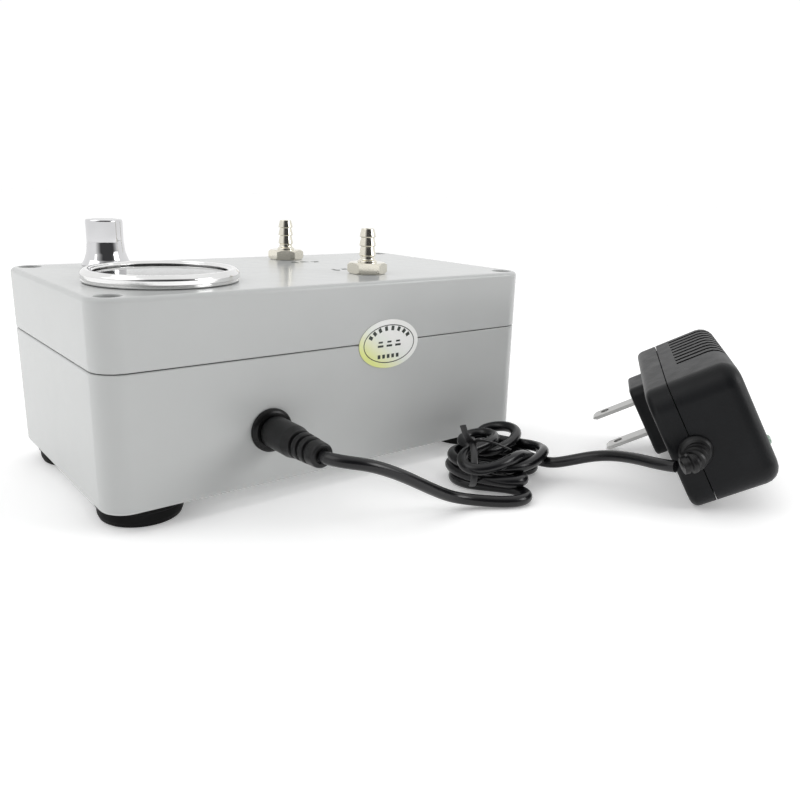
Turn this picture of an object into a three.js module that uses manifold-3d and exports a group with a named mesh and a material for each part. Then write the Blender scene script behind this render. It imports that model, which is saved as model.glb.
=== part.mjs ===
// A small bench suction pump: a grey plastic box on four rubber feet holding a motor-driven diaphragm pump,
// with a vacuum gauge, a speed knob and two hose barbs on its cover, and a lead to a wall adapter.
// Millimetres, +Z up. Origin: centre of the box's footprint, at the surface that the feet stand on.
// +X runs along the long side; the power socket is in the long wall at -Y.

import * as THREE from 'three';
import { mergeVertices } from 'three/addons/utils/BufferGeometryUtils.js';
import Module from 'manifold-3d';

const wasm = await Module();
wasm.setup();

// ---- Driving dimensions ---------------------------------------------------------------------------------

const box = { length: 158, width: 90, height: 60, lid: 20, corner: 8, edge: 1.5, wall: 3 };
const foot = { height: 5.8, bottomR: 12.2, topR: 12.9, inset: { x: 14.3, y: 15.3 }, boreR: 1.9 };
const gap = 0.3;
const touch = 0.15;

const bottom = 6;
const seam = bottom + box.height - box.lid;
const top = bottom + box.height;
const floorTop = bottom + box.wall;
const ceiling = top - box.wall;

const coverScrew = { inset: 6.3, wellR: 3.5, wellFloor: 50, headR: 2.9, headH: 2.3, shankR: 1.5, length: 16 };
const gauge = { x: -48.4, y: -14.5, bezelR: 23, rise: 3.9, openR: 19.3, caseR: 20, caseBottom: 42 };
const knob = { x: -51.7, y: 25, height: 15.6, bodyR: 5.9, skirtR: 8, lift: 0.6 };
const barb = { x: 20.8, inletY: -24.7, outletY: 30.5, height: 15.2, hexAF: 12, hexH: 3.7, boreR: 1.5 };
const jack = { x: -29.1, z: 23.4, flangeR: 6.8, flangeT: 1.7, bushR: 5.4, boreR: 3.05 };
const plug = { length: 26.5, bodyR: 4.9, barrelR: 2.7, barrelLength: 9.5 };
const cord = { r: 1.85, sides: 8 };
const seal = { x: 15.3, z: 45.3, width: 24.4, height: 16.2, thickness: 0.15 };
const adapter = {
  length: 74, depth: 28.2, width: 41, parting: 7.6, corner: 6, wall: 2,
  yaw: 36.9, tilt: 28.3, x: 74.1, y: -127.3, z: -0.8,
  blockH: 6.5, blockL: 24, blockW: 27, blockX: 55,
  bladePitch: 12.7, bladeLength: 16.5, bladeW: 6.35, bladeT: 1.5,
  grooves: 9, grooveX: 25.5, groovePitch: 4.6, grooveWidth: 2, grooveFront: 12.5, ledX: 15, ledZ: 10,
};
const motor = { y: 9, z: 28, r: 17.5, back: -22, front: 28, shaftR: 1.6 };
const crank = { disc: 8, offset: 1.75, pinR: 2.4, discX: 32, rodX: 37, endX: 43.5 };
const head = {
  left: 28.6, right: 50, bottom: 48.1, top: 60, halfWidth: 18, portZ: 54, inletY: 0, outletY: 18,
};
const tube = { outerR: 4.4, boreR: 3.2 };

// ---- Materials ------------------------------------------------------------------------------------------

function material(color, roughness, metalness = 0) {
  return new THREE.MeshStandardMaterial({ color, roughness, metalness });
}

const paint = {
  shell: () => material(0xc9cbca, 0.35),
  steel: () => material(0xc8c8c6, 0.2, 1),
  brass: () => material(0xbfb8a4, 0.3, 1),
  bareBrass: () => material(0xb59a55, 0.35, 1),
  chrome: () => material(0xe6e6e6, 0.08, 1),
  rubber: () => material(0x141414, 0.8),
  black: () => material(0x151617, 0.5),
  blackGloss: () => material(0x0c0c0c, 0.25),
  glass: () => material(0xdfe8e8, 0.05),
  dial: () => material(0xf0f0ec, 0.6),
  silicone: () => material(0xe8e8e4, 0.5),
  board: () => material(0x1d5a34, 0.5),
  foil: () => material(0xe9e8d2, 0.35),
  green: () => material(0x2fae4a, 0.3),
};

// ---- Shaping helpers ------------------------------------------------------------------------------------

const WELD = 1e-4;
const group = new THREE.Group();

function signedVolume(points, faces) {
  const [a, b, c] = [new THREE.Vector3(), new THREE.Vector3(), new THREE.Vector3()];
  let total = 0;
  for (let i = 0; i < faces.length; i += 3) {
    a.fromArray(points, faces[i] * 3);
    b.fromArray(points, faces[i + 1] * 3);
    c.fromArray(points, faces[i + 2] * 3);
    total += a.dot(b.cross(c));
  }
  return total / 6;
}

// The geometry as a closed solid: shared corners merged, empty faces dropped, all faces outward.
function solid(geometry) {
  const bare = geometry.clone();
  bare.deleteAttribute('normal');
  bare.deleteAttribute('uv');
  const merged = mergeVertices(bare, WELD);
  const points = merged.getAttribute('position').array;
  const index = merged.getIndex().array;
  const faces = [];
  for (let i = 0; i < index.length; i += 3) {
    const [a, b, c] = [index[i], index[i + 1], index[i + 2]];
    if (a !== b && b !== c && c !== a) faces.push(a, b, c);
  }
  if (signedVolume(points, faces) < 0) faces.reverse();
  return new wasm.Manifold(new wasm.Mesh({
    numProp: 3,
    vertProperties: Float32Array.from(points),
    triVerts: Uint32Array.from(faces),
  }));
}

function geometryOf(manifold) {
  const mesh = manifold.getMesh();
  const geometry = new THREE.BufferGeometry();
  geometry.setAttribute('position', new THREE.BufferAttribute(Float32Array.from(mesh.vertProperties), 3));
  geometry.setIndex(new THREE.BufferAttribute(Uint32Array.from(mesh.triVerts), 1));
  geometry.computeVertexNormals();
  return geometry;
}

function add(name, shape, finish, parent = group) {
  const mesh = new THREE.Mesh(geometryOf(shape), finish);
  mesh.name = name;
  parent.add(mesh);
  return mesh;
}

function join(...shapes) {
  return shapes.reduce((whole, shape) => whole.add(shape));
}

function cut(shape, ...tools) {
  return tools.reduce((rest, tool) => rest.subtract(tool), shape);
}

function block(x0, x1, y0, y1, z0, z1) {
  const geometry = new THREE.BoxGeometry(x1 - x0, y1 - y0, z1 - z0);
  return solid(geometry.translate((x0 + x1) / 2, (y0 + y1) / 2, (z0 + z1) / 2));
}

function roundedRect(length, width, r) {
  const [x, y] = [length / 2, width / 2];
  const shape = new THREE.Shape();
  shape.moveTo(x - r, -y);
  shape.absarc(x - r, -y + r, r, -Math.PI / 2, 0);
  shape.absarc(x - r, y - r, r, 0, Math.PI / 2);
  shape.absarc(-x + r, y - r, r, Math.PI / 2, Math.PI);
  shape.absarc(-x + r, -y + r, r, Math.PI, Math.PI * 1.5);
  shape.closePath();
  return shape;
}

function polygon(acrossFlats, sides = 6) {
  const r = acrossFlats / 2 / Math.cos(Math.PI / sides);
  const points = [];
  for (let i = 0; i < sides; i += 1) {
    const angle = ((i + 0.5) / sides) * Math.PI * 2;
    points.push(new THREE.Vector2(r * Math.cos(angle), r * Math.sin(angle)));
  }
  return new THREE.Shape(points);
}

function prism(shape, z0, z1, curveSegments = 3) {
  const geometry = new THREE.ExtrudeGeometry(shape, { depth: z1 - z0, bevelEnabled: false, curveSegments });
  return solid(geometry.translate(0, 0, z0));
}

// A rounded-rectangle slab whose top and bottom edges are rounded by the same small radius.
function pillow(length, width, r, z0, z1, edge, curveSegments = 3) {
  const geometry = new THREE.ExtrudeGeometry(roundedRect(length - 2 * edge, width - 2 * edge, r - edge), {
    depth: z1 - z0 - 2 * edge, bevelThickness: edge, bevelSize: edge, bevelSegments: 2, curveSegments,
  });
  return solid(geometry.translate(0, 0, z0 + edge));
}

// A turned solid about Z from [radius, height] pairs; a profile that leaves the axis closes on itself.
function turned(profile, segments = 16) {
  const points = profile.map(([r, z]) => new THREE.Vector2(r, z));
  const onAxis = profile[0][0] === 0 && profile[profile.length - 1][0] === 0;
  if (!onAxis) points.push(points[0].clone());
  return solid(new THREE.LatheGeometry(points, segments).rotateX(Math.PI / 2));
}

function rod(r, z0, z1, segments = 12) {
  return turned([[0, z0], [r, z0], [r, z1], [0, z1]], segments);
}

// The corners of a regular polygon inscribed in a circle of radius r.
function circle(r, sides, x = 0, y = 0) {
  return new THREE.Path().absarc(x, y, r, 0, Math.PI * 2).getPoints(sides).slice(0, sides);
}

// Round stock along a smooth curve through the points.
function cable(points, r, sides, steps) {
  const route = points.map((p) => new THREE.Vector3(...p));
  const extrudePath = new THREE.CatmullRomCurve3(route, false, 'centripetal');
  const section = new THREE.Shape(circle(r, sides));
  return solid(new THREE.ExtrudeGeometry(section, { steps, bevelEnabled: false, extrudePath }));
}

// A hose open at both ends: its bore runs a little past each end, straight on.
function hose(points, steps) {
  const past = (end, next) => end.map((value, i) => value + Math.sign(value - next[i]));
  const bore = [past(points[0], points[1]), ...points, past(points.at(-1), points.at(-2))];
  return cut(cable(points, tube.outerR, 6, steps), cable(bore, tube.boreR, 6, steps));
}

// Round stock whose radius changes along a curve: radii are spread evenly from its start to its end.
function taper(points, radii, sides = 10) {
  const path = new THREE.CatmullRomCurve3(points.map((p) => new THREE.Vector3(...p)));
  const frames = path.computeFrenetFrames(radii.length - 1);
  const corners = [path.getPointAt(0), path.getPointAt(1)];
  radii.forEach((r, i) => {
    const centre = path.getPointAt(i / (radii.length - 1));
    for (let k = 0; k < sides; k += 1) {
      const angle = (k / sides) * Math.PI * 2;
      corners.push(centre.clone()
        .addScaledVector(frames.normals[i], r * Math.cos(angle))
        .addScaledVector(frames.binormals[i], r * Math.sin(angle)));
    }
  });
  const faces = [];
  const ring = (i, k) => 2 + i * sides + (k % sides);
  for (let k = 0; k < sides; k += 1) {
    faces.push(0, ring(0, k + 1), ring(0, k));
    faces.push(1, ring(radii.length - 1, k), ring(radii.length - 1, k + 1));
    for (let i = 0; i < radii.length - 1; i += 1) {
      const [a, b, c, d] = [ring(i, k), ring(i, k + 1), ring(i + 1, k + 1), ring(i + 1, k)];
      faces.push(a, b, c, a, c, d);
    }
  }
  const geometry = new THREE.BufferGeometry().setFromPoints(corners);
  geometry.setIndex(faces);
  return solid(geometry);
}

function alongX(shape) {
  return shape.rotate([0, 90, 0]);
}

// Turns a solid made about Z so that its +Z end points towards -Y.
function towardsFront(shape) {
  return shape.rotate([90, 0, 0]);
}

const corners = [[-1, -1], [1, -1], [1, 1], [-1, 1]];

// ---- Enclosure ------------------------------------------------------------------------------------------

function screwPlace([sx, sy]) {
  return [sx * (box.length / 2 - coverScrew.inset), sy * (box.width / 2 - coverScrew.inset), 0];
}

function footPlace([sx, sy]) {
  return [sx * (box.length / 2 - foot.inset.x), sy * (box.width / 2 - foot.inset.y), 0];
}

function rim(outerInset, innerInset, z0, z1) {
  const outline = (inset) => roundedRect(box.length - 2 * inset, box.width - 2 * inset, box.corner - inset);
  const shape = outline(outerInset);
  shape.holes.push(new THREE.Path(outline(innerInset).getPoints(3).slice(0, -1)));
  return prism(shape, z0, z1);
}

function enclosure() {
  const outer = pillow(box.length, box.width, box.corner, bottom, top, box.edge);
  const cavity = prism(
    roundedRect(box.length - 2 * box.wall, box.width - 2 * box.wall, box.corner - box.wall),
    floorTop, ceiling);
  const above = block(-100, 100, -60, 60, seam + touch, 100);
  const below = block(-100, 100, -60, 60, -10, seam - touch);

  let bosses = cut(outer, cavity);
  for (const corner of corners) {
    bosses = join(
      bosses,
      rod(4.8, floorTop - 1, seam).translate(screwPlace(corner)).intersect(outer),
      rod(5.4, seam, ceiling + 1).translate(screwPlace(corner)).intersect(outer),
      rod(4, floorTop - 1, 15, 16).translate(footPlace(corner)));
  }

  let lower = bosses.intersect(below);
  lower = cut(lower, rim(0.8, 2.4, seam - 1.35, seam));
  const socketHole = towardsFront(rod(jack.bushR + gap, 0, 20));
  lower = cut(lower, socketHole.translate([jack.x, -box.width / 2 + 10, jack.z]));
  for (const corner of corners) {
    lower = cut(
      lower,
      rod(coverScrew.shankR + gap, 30, seam + 1, 16).translate(screwPlace(corner)),
      rod(foot.boreR, bottom - 1, 13, 16).translate(footPlace(corner)));
  }
  add('lower_housing', lower, paint.shell());

  let lid = bosses.intersect(above);
  for (const corner of corners) {
    lid = cut(
      lid,
      rod(coverScrew.wellR, coverScrew.wellFloor, top + 1).translate(screwPlace(corner)),
      rod(coverScrew.shankR + gap, seam, coverScrew.wellFloor + 1, 16).translate(screwPlace(corner)));
  }
  lid = cut(
    lid,
    rod(gauge.caseR + 0.5, ceiling - 1, top + 1, 24).translate([gauge.x, gauge.y, 0]),
    rod(3.8, ceiling - 1, top + 1).translate([knob.x, knob.y, 0]),
    rod(4.1, ceiling - 1, top + 1).translate([barb.x, barb.inletY, 0]),
    rod(4.1, ceiling - 1, top + 1).translate([barb.x, barb.outletY, 0]));
  add('upper_cover', lid, paint.shell());

  add('cover_gasket', rim(1.1, 2.1, seam - 1.05, seam), paint.rubber());
}

function fasteners() {
  corners.forEach((corner, i) => {
    const head = rod(coverScrew.headR, 0, coverScrew.headH, 12);
    const slot = join(block(-1.7, 1.7, -0.3, 0.3, 1.1, 3), block(-0.3, 0.3, -1.7, 1.7, 1.1, 3));
    const screw = join(cut(head, slot), rod(coverScrew.shankR, -coverScrew.length, 0.5, 8));
    const [x, y] = screwPlace(corner);
    add(`cover_screw_${i + 1}`, screw.translate([x, y, coverScrew.wellFloor + touch]), paint.steel());
  });
}

function feet() {
  const pad = turned([
    [foot.boreR, 3], [4.6, 3], [4.6, 0], [foot.bottomR - 0.8, 0], [foot.bottomR, 0.8],
    [foot.topR, foot.height], [foot.boreR, foot.height]], 16);
  const screw = join(
    turned([[0, 0.8], [3.2, 0.8], [3.7, 1.4], [3.7, 2.8], [0, 2.8]], 12), rod(1.5, 2, 12.4, 8));
  corners.forEach((corner, i) => {
    add(`foot_${i + 1}`, pad.translate(footPlace(corner)), paint.rubber());
    add(`foot_screw_${i + 1}`, screw.translate(footPlace(corner)), paint.steel());
  });
}

function qualitySeal() {
  const oval = new THREE.Shape().absellipse(0, 0, seal.width / 2, seal.height / 2, 0, Math.PI * 2);
  const sticker = towardsFront(prism(oval, 0, seal.thickness, 10));
  add('quality_seal', sticker.translate([seal.x, -box.width / 2 - 0.1, seal.z]), paint.foil());
}

// ---- Vacuum gauge ---------------------------------------------------------------------------------------

function place(shape, { x, y }) {
  return shape.translate([x, y, 0]);
}

function vacuumGauge() {
  const lip = top + 0.2;
  const { caseR, caseBottom, bezelR, openR } = gauge;
  const wallR = caseR - 1.2;
  add('gauge_case', place(turned([
    [3.4, caseBottom], [caseR, caseBottom], [caseR, lip], [22.1, lip], [22.1, lip + 0.8], [wallR, lip + 0.8],
    [wallR, caseBottom + 1.5], [3.4, caseBottom + 1.5]], 24), gauge), paint.black());
  const rimTop = top + gauge.rise;
  add('gauge_bezel', place(turned([
    [22.5, lip], [bezelR - 0.2, lip], [bezelR, lip + 0.3], [bezelR, lip + 2.5], [bezelR - 0.5, rimTop - 0.4],
    [bezelR - 1.3, rimTop],
    [openR + 0.9, rimTop], [openR, rimTop - 0.6], [openR, rimTop - 1], [22.5, rimTop - 1]], 30), gauge),
  paint.steel());
  add('gauge_lens', place(rod(22.2, rimTop - 2.5, rimTop - 1.2, 30), gauge), paint.glass());
  const face = turned([[1.2, 64.4], [18.4, 64.4], [18.4, 65], [1.2, 65]], 24);
  add('gauge_dial', place(face, gauge), paint.dial());
  vacuumMovement();
}

// The Bourdon movement: a curved tube closes as the vacuum rises and its link turns a toothed sector,
// which turns the pinion on the needle's arbor.
const pinion = { r: 1.5, teeth: 8, z: 55 };
const sector = { r: 9, teeth: 48, pivotX: 10.9 };

function toothed(teeth, rootR, tipR, z0, z1) {
  const points = [];
  for (let i = 0; i < teeth; i += 1) {
    const step = (Math.PI * 2) / teeth;
    for (const [part, r] of [[-0.3, rootR], [-0.14, tipR], [0.14, tipR], [0.3, rootR]]) {
      const angle = (i + part) * step;
      points.push(new THREE.Vector2(r * Math.cos(angle), r * Math.sin(angle)));
    }
  }
  return prism(new THREE.Shape(points), z0, z1);
}

function vacuumMovement() {
  const needle = new THREE.Shape([
    new THREE.Vector2(-5.5, -0.9), new THREE.Vector2(-5.5, 0.9), new THREE.Vector2(0, 0.7),
    new THREE.Vector2(15, 0.2), new THREE.Vector2(15, -0.2), new THREE.Vector2(0, -0.7)]);
  const start = -135;
  const hub = turned([[0.8, 65.7], [2, 65.7], [2, 66.9], [0.8, 66.9]], 20);
  const blade = cut(prism(needle, 65.9, 66.3), rod(0.8, 65, 67));
  add('gauge_needle', place(join(blade, hub).rotate([0, 0, start]), gauge), paint.black());
  add('needle_arbor', place(join(
    rod(0.5, 49, 66.6, 12),
    toothed(pinion.teeth, pinion.r - 0.25, pinion.r + 0.15, pinion.z, pinion.z + 2)), gauge),
  paint.bareBrass());

  const wedge = new THREE.Shape().moveTo(0, 0).absarc(0, 0, 20, Math.PI * 0.72, Math.PI * 1.28).lineTo(0, 0);
  const arm = new THREE.Shape().moveTo(0, 1.6).lineTo(6, 1).lineTo(6, -1).lineTo(0, -1.6).closePath();
  const teeth = toothed(sector.teeth, sector.r - 0.25, sector.r + 0.15, pinion.z + 0.4, pinion.z + 1.6)
    .intersect(prism(wedge, pinion.z, pinion.z + 2));
  const sectorGear = cut(
    join(teeth, rod(2.2, pinion.z + 0.4, pinion.z + 1.6, 20), prism(arm, pinion.z + 0.4, pinion.z + 1.6)),
    rod(0.8, 50, 60, 10));
  add('sector_gear', sectorGear.translate([gauge.x + sector.pivotX, gauge.y, 0]), paint.bareBrass());

  const plate = cut(block(-4, 15, -4, 4, 50.5, 52), rod(0.9, 50, 53, 16));
  const pivot = rod(0.5, 51, 58, 12).translate([sector.pivotX, 0, 0]);
  const post = join(plate, block(12.5, 15, -1, 4, 44, 51), pivot);
  add('movement_plate', place(post, gauge), paint.bareBrass());

  const socket = join(rod(2.9, caseInner() + gap, 48.5, 16), block(-16.5, -2, -2, 2, 45.3, 48.7));
  const sweep = [];
  for (let i = 0; i <= 8; i += 1) {
    const angle = THREE.MathUtils.degToRad(180 + i * 20);
    sweep.push([15 * Math.cos(angle), 15 * Math.sin(angle), 47]);
  }
  const bourdon = join(socket, cable(sweep, 1.4, 6, 10));
  add('bourdon_tube', place(bourdon, gauge), paint.bareBrass());

  const stem = turned([
    [0, 29], [5, 29], [5, 40.5], [2.9, 40.5], [2.9, caseInner() - 0.2], [0, caseInner() - 0.2]], 20);
  const tails = [1, -1].map((side) => towardsFront(ribbedTail(0, 7)).rotate([0, 0, side > 0 ? 180 : 0])
    .translate([0, side * 4, 34.5]));
  add('gauge_tee', place(join(stem, ...tails), gauge), paint.bareBrass());
}

function caseInner() {
  return gauge.caseBottom + 1.5;
}

// ---- Hose barbs and tails -------------------------------------------------------------------------------

// A tail that grips a hose: three cones, along Z from z0.
function ribbedTail(z0, length) {
  const third = length / 3;
  const profile = [[0, z0]];
  for (let i = 0; i < 3; i += 1) {
    profile.push([2.5, z0 + i * third], [2.2, z0 + (i + 0.95) * third]);
  }
  return turned([...profile, [0, z0 + length]], 10);
}

function hoseBarb(name, y) {
  const seat = top + touch;
  const neck = seat + barb.hexH;
  const tip = top + barb.height;
  const nut = prism(polygon(barb.hexAF), seat, neck).intersect(turned([
    [0, seat], [7.2, seat], [7.2, neck - 0.6], [6, neck], [0, neck]], 18));
  const spigot = turned([
    [0, neck - 0.5], [3, neck - 0.5], [3, neck + 0.7], [2.4, neck + 0.9], [2.4, tip - 9.2], [2.85, tip - 9],
    [2.3, tip - 6], [2.8, tip - 5.8], [2.2, tip - 3], [2.75, tip - 2.8], [2.1, tip], [0, tip]], 12);
  const thread = rod(3.9, 56, seat + 0.5, 10);
  const fitting = cut(join(nut, spigot, thread, ribbedTail(47, 9.5)), rod(barb.boreR, 46, tip + 1, 8));
  add(name, fitting.translate([barb.x, y, 0]), paint.brass());
}

function locknut(name, y) {
  const nut = cut(prism(polygon(13), ceiling - 3.2, ceiling - touch), rod(3.9 + gap, 50, 70));
  add(name, nut.translate([barb.x, y, 0]), paint.brass());
}

// ---- Speed control --------------------------------------------------------------------------------------

function speedControl() {
  const base = top + knob.lift;
  const crown = base + knob.height;
  const outside = turned([
    [0, base], [knob.skirtR, base], [knob.skirtR, base + 0.7], [7, base + 2.6], [6.3, base + 4.6],
    [knob.bodyR, base + 7], [knob.bodyR, crown - 0.9], [5.2, crown], [0, crown]], 24);
  const socket = join(rod(3.3, base - 1, base + 10), rod(6, base - 1, base + 1.6));
  add('control_knob', place(cut(outside, socket), knob), paint.chrome());
  add('potentiometer_shaft', place(rod(2.9, 57, base + 9.5, 20), knob), paint.bareBrass());
  add('potentiometer_nut', place(
    cut(prism(polygon(10), top + touch, top + 2), rod(3.5 + gap, top - 1, top + 4, 20)), knob),
  paint.steel());
  const body = cut(
    join(rod(8.2, 53, 62.6, 20), rod(3.5, 60, top + 2.2, 20), block(-6, 6, -12, -4, 54, 55.2)),
    rod(2.9 + 0.2, 56.5, 70, 20));
  add('potentiometer', place(body, knob), paint.steel());
}

// ---- Power socket, plug and lead ------------------------------------------------------------------------

function powerSocket() {
  const face = -box.width / 2;
  const barrel = turned([
    [0, -15], [jack.bushR, -15], [jack.bushR, touch], [jack.flangeR, touch], [jack.flangeR, 1.5],
    [jack.flangeR - 0.5, jack.flangeT + touch], [0, jack.flangeT + touch]], 24);
  const bore = turned([[1.05, -9], [jack.boreR, -9], [jack.boreR, 4], [1.05, 4]], 16);
  const tip = rod(1.5, 0.5, 4, 12);
  const inlet = towardsFront(cut(barrel, bore, tip));
  add('power_socket', inlet.translate([jack.x, face, jack.z]), paint.blackGloss());
  const nut = cut(prism(polygon(14), -box.wall - 2.4, -box.wall - touch), rod(jack.bushR + gap, -10, 0));
  add('socket_nut', towardsFront(nut).translate([jack.x, face, jack.z]), paint.steel());
}

const plugFace = -box.width / 2 - jack.flangeT - touch - gap;

function powerPlug() {
  const { length, bodyR } = plug;
  const body = turned([
    [0, 0], [bodyR, 0], [bodyR, 12], [4.1, 13.5], [4, 15.5], [3.3, 15.6], [3.3, 16.6], [3.8, 16.7],
    [3.6, 18.7], [3, 18.8], [3, 19.8], [3.5, 19.9], [3.3, 21.9], [2.7, 22], [2.7, 23], [3.1, 23.1],
    [2.8, length],
    [0, length]], 14);
  add('dc_plug', towardsFront(body).translate([jack.x, plugFace, jack.z]), paint.black());
  const barrel = turned([
    [1.35, -plug.barrelLength], [plug.barrelR, -plug.barrelLength], [plug.barrelR, -touch],
    [1.35, -touch]], 20);
  add('dc_plug_barrel', towardsFront(barrel).translate([jack.x, plugFace, jack.z]), paint.steel());
}

// The lead from the plug down to the hank, and from the hank up to the adapter's strain relief.
const leadEnd = [jack.x, plugFace - plug.length - gap, jack.z];
const leadRoute = [
  leadEnd, [jack.x, -77, jack.z], [-28, -80.6, 23.5], [-25, -83.2, 23.6], [-21, -84, 22.8],
  [-16.5, -84, 20.8], [-8, -84, 16.2], [0, -84, 11.2], [7, -83.2, 6.9], [12, -82, 4], [18, -81.4, 2.1],
];
const tailRoute = [
  [56, -82.8, 5.6], [59, -85, 6.4], [62, -87.4, 7.7], [64.6, -90.4, 9.4], [66.3, -95, 11.4],
  [66.9, -100.5, 12.8], [66.6, -106, 13.7], [65.2, -112, 14.8], [63.2, -117.6, 15.6],
  [62.9, -120.5, 16], [63, -123, 16.4], [63.3, -124.8, 16.8],
];
const hank = { x: 42, y: -71.5, length: 54, width: 34, height: 15, heading: 51 };
const tie = { x: 33, y: -64, r: 2.2, boreR: 1.4, height: 3 };

function lead() {
  add('cord_lead', cable(leadRoute, cord.r, cord.sides, 18), paint.blackGloss());
  add('cord_tail', cable(tailRoute, cord.r, cord.sides, 14), paint.blackGloss());
  const bundle = pillow(hank.length, hank.width, hank.width / 2, 0.1, hank.height, 2, 5);
  add('cord_hank', bundle.rotate([0, 0, hank.heading]).translate([hank.x, hank.y, 0]), paint.blackGloss());
  const low = hank.height + gap;
  const ring = cut(rod(tie.r, low, low + tie.height), rod(tie.boreR, low - 1, low + tie.height + 1));
  add('cord_tie', place(ring, tie), paint.black());
}

// ---- Wall adapter ---------------------------------------------------------------------------------------

// Built flat in its own frame: X along the case from the cord's end, Y out of the blade face, Z across.
function wallAdapter() {
  const { length, depth, width, parting, corner, wall } = adapter;
  const nest = new THREE.Group();
  nest.position.set(adapter.x, adapter.y, adapter.z);
  nest.rotation.set(-THREE.MathUtils.degToRad(adapter.tilt), 0, THREE.MathUtils.degToRad(adapter.yaw), 'ZYX');
  group.add(nest);

  const upright = (shape) => shape.rotate([90, 0, 0]).translate([length / 2, 0, width / 2]);
  const outer = upright(pillow(length, width, corner, 0, depth, 3));
  const inner = upright(pillow(length - 2 * wall, width - 2 * wall, corner - wall, wall, depth - wall, 1));
  const shell = cut(outer, inner);
  const [exitY, exitZ] = [-parting, width / 2 - 1];
  const exit = alongX(rod(3.4 + gap, -4, 6, 16)).translate([0, exitY, exitZ]);
  const far = 200;
  const frontHalf = block(-far, far, -parting + touch, far, -far, far);
  const rearHalf = block(-far, far, -far, -parting - touch, -far, far);

  const slots = [-1, 1].map((side) => bladeSlot(side));
  add('adapter_front_case', cut(shell.intersect(frontHalf), exit, ...slots), paint.black(), nest);

  const grooves = [];
  for (let i = 0; i < adapter.grooves; i += 1) {
    const x0 = adapter.grooveX + i * adapter.groovePitch;
    const x1 = x0 + adapter.grooveWidth;
    grooves.push(block(x0, x1, -depth - 1, -adapter.grooveFront, width - 0.7, width + 1));
    grooves.push(block(x0, x1, -depth - 1, -adapter.grooveFront, -1, 0.7));
  }
  const ledHole = rod(2.1, -1, 6, 16).rotate([90, 0, 0]).translate([adapter.ledX, -depth + 4, adapter.ledZ]);
  add('adapter_rear_case', cut(shell.intersect(rearHalf), exit, ledHole, ...grooves), paint.black(), nest);

  const base = pillow(adapter.blockL, adapter.blockW, 4, touch, adapter.blockH, 1, 2)
    .rotate([-90, 0, 0]).translate([adapter.blockX, 0, width / 2]);
  add('adapter_plug_block', cut(base, ...slots), paint.black(), nest);
  [['lower', -1], ['upper', 1]].forEach(([name, side]) => {
    add(`adapter_blade_${name}`, blade(side), paint.steel(), nest);
  });

  const led = turned([[0, 0], [1.8, 0], [1.8, 3.2], [1.2, 4], [0, 4.3]], 16);
  const ledSpot = [adapter.ledX, -depth + 2.8, adapter.ledZ];
  add('adapter_led', led.rotate([90, 0, 0]).translate(ledSpot), paint.green(), nest);

  const collar = turned([[0, touch], [5, touch], [4.8, 1], [3.9, 1.9], [0, 2.3]], 24).rotate([0, -90, 0]);
  const tail = taper([[5, 0, 0], [0, 0, 0], [-4, 0.3, -0.3], [-6.9, 2, -0.6], [-7.7, 5, -0.4]],
    [3.4, 3.4, 3.4, 3.2, 2.9]);
  add('adapter_strain_relief', join(collar, tail).translate([0, exitY, exitZ]), paint.rubber(), nest);

  const card = join(
    block(6, 60, -14, -12.4, 6, 35), block(22, 42, -13, -3, 10, 31), block(46, 56, -23, -13, 12, 22),
    block(10, 17, -22, -13, 24, 31));
  add('adapter_board', card, paint.board(), nest);
}

function bladeAt(side) {
  return adapter.width / 2 + (side * adapter.bladePitch) / 2;
}

function bladeSlot(side) {
  const [w, t] = [adapter.bladeW / 2 + gap, adapter.bladeT / 2 + gap];
  const z = bladeAt(side);
  return block(adapter.blockX - w, adapter.blockX + w, -4, adapter.blockH + 1, z - t, z + t);
}

function blade(side) {
  const { bladeW, bladeT, bladeLength, blockH, blockX } = adapter;
  const tip = blockH + bladeLength;
  const outline = new THREE.Shape([
    new THREE.Vector2(-bladeW / 2, -2), new THREE.Vector2(bladeW / 2, -2),
    new THREE.Vector2(bladeW / 2, tip - 1.6), new THREE.Vector2(bladeW / 2 - 1.4, tip),
    new THREE.Vector2(-bladeW / 2 + 1.4, tip), new THREE.Vector2(-bladeW / 2, tip - 1.6)]);
  outline.holes.push(new THREE.Path(circle(1.6, 12, 0, tip - 4.8)));
  return prism(outline, -bladeT / 2, bladeT / 2).translate([blockX, 0, bladeAt(side)]);
}

// ---- Diaphragm pump -------------------------------------------------------------------------------------

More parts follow.
